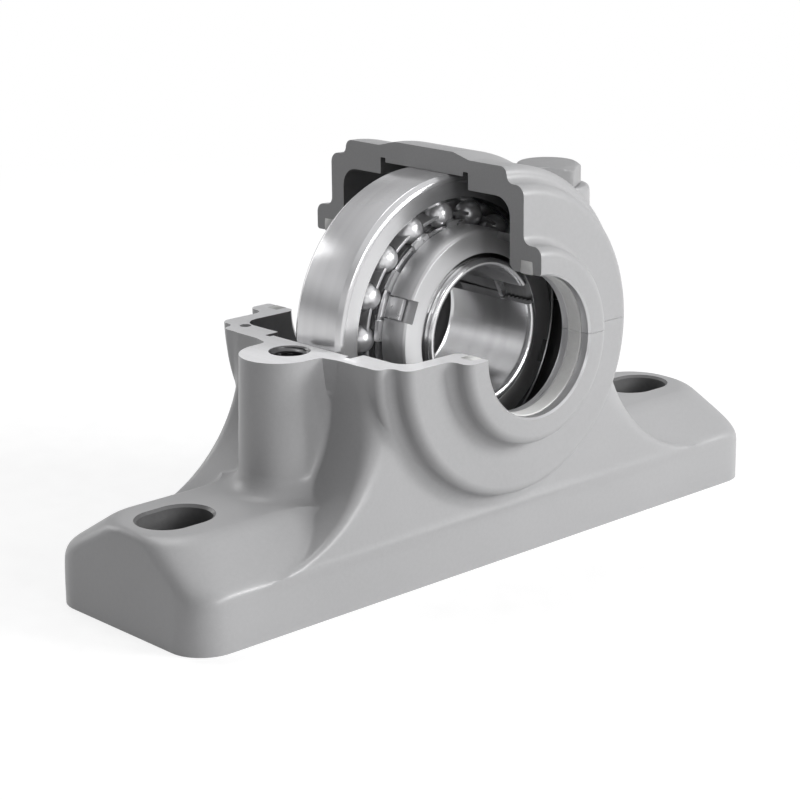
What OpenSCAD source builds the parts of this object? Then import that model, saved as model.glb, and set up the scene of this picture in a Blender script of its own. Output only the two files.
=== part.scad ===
// Split pillow housing for a 35 mm shaft, shown with half of its cap cut away.
// The shaft axis runs along Y, the base stands on Z = 0 and the cap is cut at X = 0.

/* [Base] */
// Length of the base along X
base_l = 205; // [202:1:225]
// Width of the base along Y
base_w = 60; // [57:1:64]
// Height of the shaft axis above the base
axis_h = 60; // [58:1:66]
// Height of the flat bolting pads
pad_h = 25; // [22:1:27]
// Width of the flat bolting pads
pad_w = 30; // [26:1:34]
// Height of the upright edge round the foot
edge_h = 14.5; // [12:0.5:17]
// Corner radius of the foot in plan
foot_r = 10; // [6:1:14]
// Distance of a bolt slot's centre from the end of the base
slot_inset = 17.5; // [15:0.5:20]
// Width of a bolt slot
slot_w = 15; // [12:0.5:17]
// Length of a bolt slot from end to end
slot_l = 20; // [18:0.5:23]
// Height below the shaft axis at which the sides begin to flare out
flare_drop = 9.5; // [6:0.5:14]

/* [Housing body] */
// Thickness of the wall over the bearing seat
crown_wall = 5.9; // [5.5:0.1:9]
// How far the bands beside the crown lie below it
band_drop = 1.5; // [1:0.25:3]
// How far the flanges beside the bands lie below the crown
flange_drop = 5.6; // [4.5:0.1:7]
// Width of the raised middle of the crown
crown_w = 26; // [20:1:32]
// Inside width of the housing between its end walls
inside_w = 63; // [61:1:66]
// Thickness of the end walls
wall_t = 4.8; // [4:0.1:6]
// Overall width across the two seal bosses
boss_w = 85; // [83:1:90]
// Wall of a seal boss round its opening
boss_wall = 7.25; // [7:0.25:9]
// Gap between the shaft and the opening, on the radius
opening_gap = 0.75; // [0.5:0.25:1.25]
// Width of the bearing seat
seat_w = 33; // [31:0.5:36]
// Step from the seat down to the cavity wall, on the radius
shoulder_h = 3.3; // [2.5:0.1:4]
// Width of the relief groove at each end of the seat
relief_w = 1.9; // [1.5:0.1:2.5]
// Depth of the relief groove
relief_d = 1.2; // [0.8:0.1:1.6]

/* [Seals] */
// Width of a felt strip
felt_w = 4.6; // [3.6:0.2:5]
// Depth of the felt groove
felt_depth = 3.25; // [3:0.25:5]

/* [Cap fastening] */
// Distance between the centres of the two cap bolts
bolt_pitch = 94; // [93:1:97]
// Thread diameter of the cap bolts
bolt_d = 10; // [8:1:10]
// Length of a cap bolt under its head
bolt_l = 50; // [46:1:54]
// Size of the bolt head across its flats
head_af = 17; // [15:1:18]
// Height of the bolt head
head_h = 6.4; // [5:0.2:7.5]
// Height of the cap's bolting lug above the split
lug_h = 29.6; // [28:0.2:32]
// Radius of the round end of a bolting lug
lug_r = 10.5; // [10:0.25:11.5]
// Diameter of the dowel pins between cap and base
dowel_d = 3; // [2.5:0.5:4]
// Length of a dowel pin
dowel_l = 14; // [10:1:18]

/* [Bearing] */
// Outside diameter of the bearing
brg_d = 80; // [79:0.5:82]
// Width of the bearing
brg_w = 18; // [17:0.5:19]
// Bore of the bearing at its small end
brg_bore = 40; // [39:0.5:41]
// Radius of the spherical raceway in the outer ring
race_r = 33.8; // [33.2:0.2:34.6]
// Ball diameter
ball_d = 7.2; // [6.6:0.1:7.4]
// Balls in each of the two rows
ball_count = 17; // [12:1:17]
// Distance of each ball row from the middle of the bearing
row_offset = 5.2; // [4.8:0.1:5.4]
// Thickness of the sheet steel cage
cage_t = 0.9; // [0.6:0.1:1.4]
// Place of the free bearing in its seat, along Y
float_rest = -2; // [-4:0.5:4]

/* [Sleeve, nut and washer] */
// Diameter of the shaft that the sleeve grips
shaft_d = 35; // [34:0.5:36]
// How far the sleeve stands out past the bearing at its thick end
sleeve_tail = 1.5; // [0.5:0.5:4]
// How far the sleeve stands out past the nut
sleeve_nose = 1.75; // [0.5:0.25:3]
// Width of the slit along the sleeve
slit_w = 6; // [4:0.5:7]
// Outside diameter of the nut
nut_d = 54; // [52:1:58]
// Width of the nut
nut_w = 8.5; // [8:0.5:11]
// Depth of the spanner slots in the nut
nut_slot_d = 2.5; // [2:0.1:3]
// Width of the spanner slots in the nut
nut_slot_w = 6; // [5.5:0.5:7]
// Thickness of the locking washer
washer_t = 1.25; // [1:0.05:1.5]
// Diameter over the washer's tabs
washer_d = 56.5; // [55:0.25:59]

/* [Fits] */
// Clearance of parts that sit tight in each other
tight_gap = 0.02; // [0.01:0.01:0.05]
// Clearance of the bearing in its seat, on the radius
seat_gap = 0.05; // [0.02:0.01:0.1]
// Clearance between a ball and what it rolls on or is caged by
ball_gap = 0.25; // [0.2:0.05:0.35]

/* [Hidden] */
$fn = 96;

// Colours of the castings, the steel parts, the balls and the felt
casting_grey = [0.70, 0.71, 0.72];
steel = [0.80, 0.81, 0.83];
chrome = [0.90, 0.91, 0.93];
felt_white = [0.86, 0.86, 0.84];

// How far cutting and joining shapes reach past a face
over = 1;

// Housing body: radii are measured from the shaft axis, half widths from Y = 0
seat_r = brg_d/2 + seat_gap;
crown_r = seat_r + crown_wall;
band_r = crown_r - band_drop;
flange_r = crown_r - flange_drop;
cavity_r = seat_r - shoulder_h;
opening_r = shaft_d/2 + opening_gap;
boss_r = opening_r + boss_wall;
side_y = inside_w/2 + wall_t;
band_y = inside_w/2 - 3;
crown_slope = 10;
band_round = 1.2;
boss_fillet = 1.5;
cavity_round = 5;
edge_round = 5.5;
lip_chamfer = 1.4;
groove_r = opening_r + felt_depth;
groove_y = (side_y + boss_w/2)/2 - 2;
groove_taper = 0.3;
felt_stand = 0.2;

// Foot of the base and tower, which narrows to a bolting lug at each end
slot_pitch = base_l - 2*slot_inset;
pad_inset = 3;
pad_round = 13;
ridge_blend = 5;
flare_top = axis_h - flare_drop;
flare_r = flare_top - edge_h;
tower_x = band_r - 0.4;
tower_y = base_w/2;
lug_x = bolt_pitch/2 + 3;
lug_draft = 0.03;
lug_foot = 6;
lug_blend = 5;
corner_blend = 16;
foot_blend = 8;
loft_points = 120;
loft_stretch = 2;
loft_grid = 0.01;

// Cap fastening
tap_r = bolt_d*0.425;
clear_r = bolt_d/2 + 0.5;
tap_depth = bolt_l - lug_h + 5;
tap_mouth = 1;
head_bevel = 1;
bolt_bevel = 1;
dowel_x = cavity_r + 1.7;
dowel_y = inside_w/2 - 3.6;
dowel_bevel = 0.4;

// Bearing
brg_front = float_rest - brg_w/2;
brg_back = float_rest + brg_w/2;
ball_r = ball_d/2;
ball_reach = race_r - ball_r - ball_gap;
pitch_r = sqrt(ball_reach*ball_reach - row_offset*row_offset);
shoulder_r = pitch_r - 0.73*ball_r;
corner = 1.5;
inner_corner = 1;
race_bevel = 1.3;
race_mouth_r = sqrt(pow(race_r, 2) - pow(brg_w/2, 2)) + race_bevel;
cage_half = row_offset + 0.785*ball_r;
ball_phase = 114.2;

// Sleeve, nut and washer, from the bearing's front face forwards
sleeve_taper = 1/24;
thread_r = brg_bore/2 - 0.5;
washer_front = brg_front - washer_t;
nut_front = washer_front - nut_w;
sleeve_front = nut_front - sleeve_nose;
sleeve_back = brg_back + sleeve_tail;
slit_angle = 25;
rim_bevel = 0.5;
nut_bevel = 0.4;
nut_mouth = 1.2;
nut_slot_angle = 158.5;
tab_count = 13;
tab_play = 0.3;
tab_w = nut_slot_w - 2*tab_play;
tab_reach = nut_w*0.55;
washer_body_r = nut_d/2 - nut_slot_d - 0.3;

function ball_name(row, i) = str("ball_", row, "_", i < 10 ? "0" : "", i);

// Places a profile drawn as (radius, Y) round the shaft axis
module round_shaft_axis() {
    translate([0, 0, axis_h]) rotate([-90, 0, 0]) rotate_extrude() children();
}

// Turns its children round the shaft axis, from +X towards +Z
module at_angle(a) {
    translate([0, 0, axis_h]) rotate([0, -a, 0]) children();
}

// Draws a profile and its mirror image in Y = 0
module both_sides() {
    children();
    mirror([0, 1]) children();
}

// Rectangle from (x0, y0) to (x1, y1)
module box2(x0, y0, x1, y1) {
    translate([x0, y0]) square([x1 - x0, y1 - y0]);
}

// Rectangle whose far corner (x1, y1) is rounded
module box2_round(x0, y0, x1, y1, r) {
    box2(x0, y0, x1 - r, y1);
    box2(x0, y0, x1, y1 - r);
    translate([x1 - r, y1 - r]) circle(r);
}

// Concave fillet where a cylinder of radius x meets the face at Y = y
module inner_fillet(x, y, r) {
    difference() {
        box2(0, y - r, x + r, y + r);
        translate([x + r, y + r]) circle(r);
    }
}

// Outside of the housing body as (radius, Y)
module body_profile() {
    slope_y = crown_w/2 - crown_slope*0.4;
    both_sides() {
        polygon([
            [0, 0],
            [crown_r, 0],
            [crown_r, slope_y],
            [crown_r - band_drop*0.25, slope_y + crown_slope*0.3],
            [band_r + band_drop*0.2, slope_y + crown_slope*0.7],
            [band_r, slope_y + crown_slope],
            [0, slope_y + crown_slope]
        ]);
        box2_round(0, 0, band_r, band_y, band_round);
        box2_round(0, 0, flange_r, side_y, edge_round);
        box2_round(0, 0, boss_r, boss_w/2, edge_round/2);
        inner_fillet(boss_r, side_y, boss_fillet);
        inner_fillet(flange_r, band_y, band_round);
    }
}

// Hollow inside of the housing body as (radius, Y)
module cavity_profile() {
    both_sides() {
        box2(0, 0, seat_r, seat_w/2);
        box2(0, seat_w/2 - relief_w, seat_r + relief_d, seat_w/2);
        box2_round(0, 0, cavity_r, inside_w/2, cavity_round);
        box2(0, 0, opening_r, boss_w/2 + over);
        polygon([
            [0, inside_w/2 - over],
            [opening_r + lip_chamfer, inside_w/2 - over],
            [opening_r + lip_chamfer, inside_w/2],
            [opening_r, inside_w/2 + lip_chamfer],
            [0, inside_w/2 + lip_chamfer]
        ]);
        groove_profile(0);
    }
}

// Slightly tapered groove for a felt strip; gap shrinks it to the strip itself
module groove_profile(gap) {
    w = felt_w/2 - gap;
    polygon([
        [opening_r - over, groove_y - w],
        [groove_r - gap, groove_y - w + groove_taper],
        [groove_r - gap, groove_y + w - groove_taper],
        [opening_r - over, groove_y + w]
    ]);
}

// Everything below the split when side is -1, above it when side is 1
module half_space(side) {
    size = 2*(crown_r + boss_w);
    translate([-size/2, -size/2, side > 0 ? axis_h : axis_h - size]) cube(size);
}

// Everything on the +X side of the cut
module kept_side() {
    size = 2*(crown_r + boss_w);
    translate([0, -size/2, axis_h - size/2]) cube(size);
}

// Smooth forms of max and min: k is the width of the blend
function smooth_max(a, b, k) =
    let (h = max(k - abs(a - b), 0)/k) max(a, b) + h*h*k/4;
function smooth_min(a, b, k) = -smooth_max(-a, -b, k);

// Sideways reach of the concave flare at height z
function flare(z) =
    z >= flare_top ? 0 : flare_r - sqrt(max(0, pow(flare_r, 2) - pow(flare_top - z, 2)));

// Distance from the middle to the rounded end of a lug of radius r, in direction t
function lug_reach(t, r) =
    lug_x*abs(sin(t)) > r*abs(cos(t)) ? r/abs(sin(t))
    : lug_x*abs(cos(t)) + sqrt(pow(r, 2) - pow(lug_x*sin(t), 2));

// Distance from the middle to the edge of a rounded rectangle, in direction t
function rect_reach(t, half_l, half_w, r) =
    let (c = abs(cos(t)), s = abs(sin(t)), x = half_l - r, y = half_w - r, m = x*c + y*s)
    half_l*s <= y*c ? half_l/c
    : half_w*c <= x*s ? half_w/s
    : m + sqrt(max(0, m*m - x*x - y*y + r*r));

// How far the lug's foot spreads at height z, where it stands on the pad
function lug_spread(z) =
    let (h = pad_h + lug_foot - z)
    h <= 0 ? 0 : lug_foot - sqrt(max(0, pow(lug_foot, 2) - h*h));

// Half width of the tower along X at height z: it follows the seat above the split
function tower_half(z) =
    z > axis_h ? sqrt(pow(tower_x, 2) - pow(z - axis_h, 2)) : tower_x + flare(z);

// Outline of the tower with its lugs at height z, in direction t
function tower_reach(t, z) =
    let (
        wall = tower_half(z)/max(abs(cos(t)), 0.001),
        face = tower_y/max(abs(sin(t)), 0.001),
        lug = lug_reach(t, lug_r + lug_draft*(axis_h - z) + lug_spread(z)),
        corner = corner_blend*min(1, (z - edge_h/2)/(flare_top - edge_h/2))
    )
    smooth_min(smooth_max(wall, lug, lug_blend), face, corner);

// Outline of the foot at height z: upright at first, then sloping in to the pads
function foot_reach(t, z) =
    let (
        k = (z - edge_h)/(pad_h - edge_h),
        upright = rect_reach(t, base_l/2, base_w/2, foot_r),
        slope = rect_reach(
            t,
            base_l/2 - k*pad_inset,
            (1 - k)*base_w/2 + k*pad_w/2,
            (1 - k)*foot_r + k*pad_round
        ),
        foot = smooth_min(upright, slope, ridge_blend)
    )
    z < edge_h ? foot : smooth_max(foot, tower_reach(t, z), foot_blend*k + 0.01);

// Directions of the loft's points, closer together towards the ends of the base
function loft_direction(i) =
    let (u = (i + 0.5)*360/loft_points) atan2(sin(u), loft_stretch*cos(u));

// Closes outlines, one list of reaches for each height, into a solid
module loft(heights, reaches) {
    n = loft_points;
    last = len(heights) - 1;
    rings = [
        for (k = [0:last]) for (i = [0:n - 1])
            let (t = loft_direction(i), r = round(reaches[k][i]/loft_grid)*loft_grid)
            [r*cos(t), r*sin(t), heights[k]]
    ];
    points = concat(rings, [[0, 0, heights[0]], [0, 0, heights[last]]]);
    foot_centre = len(rings);
    top_centre = foot_centre + 1;
    sides = [
        for (k = [0:last - 1]) for (i = [0:n - 1])
            let (
                a = k*n + i,
                b = k*n + (i + 1)%n,
                c = b + n,
                d = a + n,
                short = norm(points[a] - points[c]) < norm(points[b] - points[d])
            )
            each short ? [[a, c, b], [a, d, c]] : [[a, d, b], [b, d, c]]
    ];
    ends = [
        for (i = [0:n - 1])
            let (j = (i + 1)%n)
            each [[foot_centre, i, j], [top_centre, last*n + j, last*n + i]]
    ];
    polyhedron(points, [
        for (f = concat(sides, ends))
            let (p = points[f[0]], q = points[f[1]], r = points[f[2]])
            if (p != q && q != r && r != p) f
    ]);
}

// Long foot, whose shoulders slope up to the flat pads, and the tower that carries the
// seat and ends just past the split
module foot_and_tower() {
    slope_steps = 4;
    flare_steps = 9;
    low = acos((flare_top - pad_h)/flare_r);
    foot_heights = concat(
        [0, edge_h - 2],
        [for (k = [0:slope_steps]) edge_h + (pad_h - edge_h)*k/slope_steps]
    );
    tower_heights = concat(
        [pad_h],
        [for (k = [1:flare_steps]) flare_top - flare_r*cos(low + (90 - low)*k/flare_steps)],
        [axis_h + over]
    );
    directions = [for (i = [0:loft_points - 1]) loft_direction(i)];
    loft(concat(foot_heights, tower_heights), concat(
        [for (z = foot_heights) [for (t = directions) foot_reach(t, z)]],
        [for (z = tower_heights) [for (t = directions) tower_reach(t, z)]]
    ));
}

// Bolting lugs of the cap: the same outline, carried on above the split
module cap_lugs() {
    steps = 5;
    bevel = 1.2;
    heights = concat(
        [axis_h - over],
        [for (k = [0:steps]) axis_h + (lug_h - bevel)*k/steps],
        [axis_h + lug_h]
    );
    loft(heights, [
        for (z = heights) [
            for (i = [0:loft_points - 1])
                tower_reach(loft_direction(i), z) - max(0, z - axis_h - lug_h + bevel)
        ]
    ]);
}

// Bolt slot with round ends, through the foot
module bolt_slot() {
    translate([0, 0, -over]) linear_extrude(axis_h) {
        square([slot_l - slot_w, slot_w], center = true);
        for (x = [-1, 1]) translate([x*(slot_l - slot_w)/2, 0]) circle(slot_w/2);
    }
}

// Tapped hole down from the split, with a countersunk mouth
module tapped_hole() {
    tip = tap_r*0.6;
    translate([0, 0, axis_h - tap_depth]) cylinder(r = tap_r, h = tap_depth + over);
    translate([0, 0, axis_h - tap_mouth])
        cylinder(r1 = tap_r, r2 = tap_r + tap_mouth + over, h = tap_mouth + over);
    translate([0, 0, axis_h - tap_depth - tip]) cylinder(r1 = 0, r2 = tap_r, h = tip);
}

module dowel_hole() {
    translate([0, 0, axis_h - dowel_l/2 - over])
        cylinder(r = dowel_d/2 + tight_gap, h = dowel_l + 2*over, $fn = 32);
}

module housing_base() {
    color(casting_grey) difference() {
        intersection() {
            union() {
                foot_and_tower();
                round_shaft_axis() body_profile();
            }
            half_space(-1);
        }
        round_shaft_axis() cavity_profile();
        for (x = [-1, 1]) {
            translate([x*slot_pitch/2, 0, 0]) bolt_slot();
            translate([x*bolt_pitch/2, 0, 0]) tapped_hole();
            translate([x*dowel_x, dowel_y, 0]) dowel_hole();
        }
    }
}

module housing_cap() {
    color(casting_grey) difference() {
        intersection() {
            union() {
                cap_lugs();
                round_shaft_axis() body_profile();
            }
            half_space(1);
            kept_side();
        }
        round_shaft_axis() cavity_profile();
        translate([bolt_pitch/2, 0, axis_h - over]) cylinder(r = clear_r, h = lug_h + 2*over);
        translate([dowel_x, dowel_y, 0]) dowel_hole();
    }
}

// Hexagon bolt: its thread is drawn at the size of its core
module cap_bolt() {
    core_r = tap_r - tight_gap;
    top_r = head_af/2 - 0.6;
    color(steel) translate([bolt_pitch/2, 0, axis_h + lug_h]) {
        intersection() {
            rotate([0, 0, 30]) linear_extrude(head_h) circle(head_af/sqrt(3), $fn = 6);
            union() {
                cylinder(r = head_af, h = head_h - head_bevel);
                translate([0, 0, head_h - head_bevel])
                    cylinder(r1 = top_r + 2*head_bevel, r2 = top_r, h = head_bevel);
            }
        }
        translate([0, 0, -lug_h]) cylinder(r = bolt_d/2, h = lug_h + over);
        translate([0, 0, bolt_bevel - bolt_l])
            cylinder(r = core_r, h = bolt_l - lug_h - bolt_bevel + over);
        translate([0, 0, -bolt_l])
            cylinder(r1 = core_r - bolt_bevel, r2 = core_r, h = bolt_bevel);
    }
}

module dowel_pin() {
    color(steel) translate([dowel_x, dowel_y, axis_h - dowel_l/2]) {
        b = dowel_bevel;
        translate([0, 0, b]) cylinder(r = dowel_d/2, h = dowel_l - 2*b, $fn = 32);
        cylinder(r1 = dowel_d/2 - b, r2 = dowel_d/2, h = b, $fn = 32);
        translate([0, 0, dowel_l - b])
            cylinder(r1 = dowel_d/2, r2 = dowel_d/2 - b, h = b, $fn = 32);
    }
}

// Felt strip of one end wall: side is -1 in front and 1 behind
module felt_ring(side) {
    round_shaft_axis() mirror([0, side < 0 ? 1 : 0]) intersection() {
        groove_profile(tight_gap);
        box2(opening_r - felt_stand, 0, groove_r, boss_w);
    }
}

module felt_lower(side) {
    color(felt_white) intersection() {
        felt_ring(side);
        half_space(-1);
    }
}

module felt_upper(side) {
    color(felt_white) intersection() {
        felt_ring(side);
        half_space(1);
        kept_side();
    }
}

// Bearing ring's cross-section as (radius, Y): its outer corners have a double bevel b wide
module ring_section(r0, r1, b) {
    y1 = brg_w/2;
    polygon([
        [r0, -y1],
        [r1 - b, -y1],
        [r1 - b*0.3, -y1 + b*0.3],
        [r1, -y1 + b],
        [r1, y1 - b],
        [r1 - b*0.3, y1 - b*0.3],
        [r1 - b, y1],
        [r0, y1]
    ]);
}

module outer_ring() {
    color(steel) translate([0, float_rest, 0]) difference() {
        round_shaft_axis() ring_section(race_r*0.8, brg_d/2, corner);
        translate([0, 0, axis_h]) rotate([90, 0, 0]) sphere(race_r);
        round_shaft_axis() both_sides() polygon([
            [0, brg_w/2 - race_bevel],
            [race_mouth_r - race_bevel, brg_w/2 - race_bevel],
            [race_mouth_r + over, brg_w/2 + over],
            [0, brg_w/2 + over]
        ]);
    }
}

module inner_ring() {
    color(steel) translate([0, float_rest, 0]) difference() {
        round_shaft_axis() ring_section(brg_bore/2 - 2*over, shoulder_r, inner_corner);
        translate([0, -brg_w/2 - over, axis_h]) rotate([-90, 0, 0])
            cylinder(
                r1 = brg_bore/2 + tight_gap - over*sleeve_taper,
                r2 = brg_bore/2 + tight_gap + (brg_w + over)*sleeve_taper,
                h = brg_w + 2*over
            );
        for (y = [-1, 1]) translate([0, y*row_offset, 0])
            round_shaft_axis() translate([pitch_r, 0]) circle(ball_r + ball_gap);
    }
}

// Places its children at the centre of ball i of a row: side is -1 in front, 1 behind
module at_ball(side, i) {
    stagger = side > 0 ? 0.5 : 0;
    at_angle(ball_phase + (i - 1 + stagger)*360/ball_count)
        translate([pitch_r, float_rest + side*row_offset, 0]) children();
}

module ball(side, i) {
    color(chrome) at_ball(side, i) sphere(ball_r, $fn = 48);
}

// Thin cage between the ball rows, with a round pocket for each ball
module cage() {
    color(steel) difference() {
        translate([0, float_rest, 0]) round_shaft_axis()
            box2(pitch_r - cage_t/2, -cage_half, pitch_r + cage_t/2, cage_half);
        for (side = [-1, 1]) for (i = [1:ball_count])
            at_ball(side, i) rotate([0, 90, 0])
                cylinder(r = ball_r + ball_gap, h = 4*cage_t, center = true);
    }
}

module adapter_sleeve() {
    color(steel) difference() {
        union() {
            translate([0, brg_front, axis_h]) rotate([-90, 0, 0])
                cylinder(
                    r1 = brg_bore/2,
                    r2 = brg_bore/2 + (sleeve_back - brg_front)*sleeve_taper,
                    h = sleeve_back - brg_front
                );
            round_shaft_axis() polygon([
                [shaft_d/2 - over, sleeve_front],
                [thread_r - rim_bevel, sleeve_front],
                [thread_r, sleeve_front + rim_bevel],
                [thread_r, brg_front + over],
                [shaft_d/2 - over, brg_front + over]
            ]);
        }
        round_shaft_axis() polygon([
            [0, sleeve_front - over],
            [shaft_d/2 + rim_bevel + over, sleeve_front - over],
            [shaft_d/2, sleeve_front + rim_bevel],
            [shaft_d/2, sleeve_back - rim_bevel],
            [shaft_d/2 + rim_bevel + over, sleeve_back + over],
            [0, sleeve_back + over]
        ]);
        at_angle(slit_angle)
            translate([0, sleeve_front - over, -slit_w/2])
                cube([brg_bore, sleeve_back - sleeve_front + 2*over, slit_w]);
    }
}

// Locking washer: an extra tab between two flat ones is bent forward into the nut, and a
// tongue lies in the slit
module lockwasher() {
    tab_step = 360/tab_count;
    tongue_w = slit_w - 2*tab_play;
    color(steel) {
        difference() {
            union() {
                translate([0, washer_front, axis_h]) rotate([-90, 0, 0])
                    cylinder(r = washer_body_r, h = washer_t);
                for (k = [1:tab_count]) at_angle(nut_slot_angle + (k - 0.5)*tab_step) washer_tab();
            }
            translate([0, washer_front - over, axis_h]) rotate([-90, 0, 0])
                cylinder(r = brg_bore/2 + tab_play, h = washer_t + 2*over);
        }
        at_angle(nut_slot_angle) bent_tab();
        at_angle(slit_angle)
            translate([shaft_d/2 + tab_play, washer_front, -tongue_w/2])
                cube([brg_bore/2 - shaft_d/2 + over, washer_t, tongue_w]);
    }
}

// Flat tab that reaches out from the washer
module washer_tab() {
    intersection() {
        translate([washer_body_r - over, washer_front, -tab_w/2])
            cube([washer_d/2 - washer_body_r + over, washer_t, tab_w]);
        translate([0, washer_front - over, 0]) rotate([-90, 0, 0])
            cylinder(r = washer_d/2, h = washer_t + 2*over);
    }
}

// Tab bent forward over the floor of the nut's slot
module bent_tab() {
    floor_r = nut_d/2 - nut_slot_d + tab_play;
    translate([washer_body_r - over, washer_front, -tab_w/2])
        cube([floor_r + washer_t - washer_body_r + over, washer_t, tab_w]);
    translate([floor_r, washer_front - tab_reach, -tab_w/2])
        cube([washer_t, tab_reach + washer_t, tab_w]);
}

module locknut() {
    color(steel) difference() {
        round_shaft_axis() polygon([
            [thread_r + tight_gap, nut_front + nut_mouth],
            [thread_r + tight_gap + nut_mouth, nut_front],
            [nut_d/2 - nut_bevel, nut_front],
            [nut_d/2, nut_front + nut_bevel],
            [nut_d/2, washer_front - nut_bevel],
            [nut_d/2 - nut_bevel, washer_front],
            [thread_r + tight_gap, washer_front]
        ]);
        for (k = [0:3]) at_angle(nut_slot_angle + 90*k)
            translate([nut_d/2 - nut_slot_d, nut_front - over, -nut_slot_w/2])
                cube([nut_slot_d + over, nut_w + 2*over, nut_slot_w]);
    }
}

housing_base();
housing_cap();
cap_bolt();
dowel_pin();
felt_lower(-1);  // felt_front_lower
felt_upper(-1);  // felt_front_upper
felt_lower(1);  // felt_rear_lower
felt_upper(1);  // felt_rear_upper
outer_ring();
inner_ring();
cage();
adapter_sleeve();
lockwasher();
locknut();
for (i = [1:ball_count]) {
    ball(-1, i);
    ball(1, i);
}
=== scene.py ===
import math

import bmesh
import bpy
import numpy as np
from mathutils import Matrix, Vector


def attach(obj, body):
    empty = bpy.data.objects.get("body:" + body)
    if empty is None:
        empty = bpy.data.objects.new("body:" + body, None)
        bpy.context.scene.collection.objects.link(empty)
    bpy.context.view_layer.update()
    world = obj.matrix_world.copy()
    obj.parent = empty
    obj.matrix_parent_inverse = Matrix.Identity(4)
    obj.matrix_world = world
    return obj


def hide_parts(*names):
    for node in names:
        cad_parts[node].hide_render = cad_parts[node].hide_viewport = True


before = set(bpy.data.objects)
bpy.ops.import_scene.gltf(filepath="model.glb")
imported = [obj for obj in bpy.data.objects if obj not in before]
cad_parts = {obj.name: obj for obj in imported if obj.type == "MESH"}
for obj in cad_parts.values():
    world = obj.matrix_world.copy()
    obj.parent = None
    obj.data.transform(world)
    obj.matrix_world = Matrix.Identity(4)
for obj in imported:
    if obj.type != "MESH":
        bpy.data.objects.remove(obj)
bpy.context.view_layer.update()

# Sizes in millimetres, as in the part

MM = 0.001
BASE_L, BASE_W, AXIS_H = 205.0, 60.0, 60.0
PAD_H, PAD_W, EDGE_H, FOOT_R = 25.0, 30.0, 14.5, 10.0
SLOT_PITCH, SLOT_W, SLOT_L = 170.0, 15.0, 20.0
FLARE_DROP = 9.5
CROWN_W, BAND_DROP, FLANGE_DROP, CROWN_WALL = 26.0, 1.5, 5.6, 5.9
INSIDE_W, WALL_T, BOSS_W, BOSS_WALL = 63.0, 4.8, 85.0, 7.25
OPENING_GAP, SEAT_W, SHOULDER_H = 0.75, 33.0, 3.3
RELIEF_W, RELIEF_D = 1.9, 1.2
FELT_W, FELT_DEPTH = 4.6, 3.25
BOLT_PITCH, BOLT_D, BOLT_L, HEAD_AF, HEAD_H = 94.0, 10.0, 50.0, 17.0, 6.4
LUG_H, LUG_R = 29.6, 10.5
DOWEL_D, DOWEL_DEPTH = 3.0, 8.0
BRG_D, BRG_W, BRG_BORE, RACE_R = 80.0, 18.0, 40.0, 33.8
BALL_D, BALL_COUNT, ROW_OFFSET, BALL_GAP = 7.2, 17, 5.2, 0.25
RACE_BEVEL = 1.3
FLOAT_REST = -2.0
SHAFT_D, SLEEVE_TAIL, SLEEVE_NOSE, SLIT_W = 35.0, 1.5, 1.75, 6.0
NUT_D, NUT_W, NUT_SLOT_D, NUT_SLOT_W = 54.0, 8.5, 2.5, 6.0
WASHER_T, WASHER_D, TAB_COUNT, TAB_PLAY = 1.25, 56.5, 13, 0.3
CAGE_T = 0.9
TIGHT_GAP, SEAT_GAP = 0.02, 0.05
THREAD_PITCH = 1.5
TAPER = 24.0

# Sizes that follow from them

SEAT_R = BRG_D / 2 + SEAT_GAP
CROWN_R = SEAT_R + CROWN_WALL
BAND_R = CROWN_R - BAND_DROP
FLANGE_R = CROWN_R - FLANGE_DROP
CAVITY_R = SEAT_R - SHOULDER_H
OPENING_R = SHAFT_D / 2 + OPENING_GAP
BOSS_R = OPENING_R + BOSS_WALL
SIDE_Y = INSIDE_W / 2 + WALL_T
BAND_Y = INSIDE_W / 2 - 3
GROOVE_R = OPENING_R + FELT_DEPTH
GROOVE_Y = (SIDE_Y + BOSS_W / 2) / 2 - 2
TAP_R = BOLT_D * 0.425
DOWEL_X, DOWEL_Y = CAVITY_R + 1.7, INSIDE_W / 2 - 3.6
BALL_R = BALL_D / 2
POCKET_R = BALL_R + BALL_GAP
PITCH_R = math.sqrt((RACE_R - POCKET_R) ** 2 - ROW_OFFSET ** 2)
SHOULDER_R = PITCH_R - 0.73 * BALL_R
BRG_FRONT, BRG_BACK = FLOAT_REST - BRG_W / 2, FLOAT_REST + BRG_W / 2
THREAD_R = BRG_BORE / 2 - 0.5
WASHER_FRONT = BRG_FRONT - WASHER_T
NUT_FRONT = WASHER_FRONT - NUT_W
SLEEVE_FRONT = NUT_FRONT - SLEEVE_NOSE
SLEEVE_BACK = BRG_BACK + SLEEVE_TAIL

# Angles round the shaft in degrees, from +X towards +Z

BALL_PHASE = 114.2
SLIT_ANGLE = 25.0
SLOT_ANGLE = 158.5

# Form of the castings

FLARE_TOP = AXIS_H - FLARE_DROP
FLARE_R = FLARE_TOP - EDGE_H
TOWER_X, TOWER_Y = BAND_R - 0.4, BASE_W / 2
LUG_X, LUG_DRAFT, LUG_FOOT, LUG_BLEND = BOLT_PITCH / 2 + 3, 0.03, 6.0, 7.0
PAD_INSET, PAD_ROUND, PAD_LIP = 3.0, 13.0, 1.8
RIDGE_BLEND, CORNER_BLEND, FOOT_BLEND = 5.0, 16.0, 8.0
FOOT_RISE, FOOT_SHARE = 3.5, 0.55
FLANGE_FILLET = 2.2
BODY_SHRINK = 0.12
CAP_EDGE = 1.6
SPLIT_LINE = 0.12
SLOT_BEVEL = 0.7
COUNTERSINK = 1.15

# Half sizes of the blocks that cut, larger than the part, and small numbers

FAR_X, FAR_Y, FAR_Z = 150, 80, 150
TINY = 1e-6
POLE_R = 1e-4


# Meshes

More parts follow.
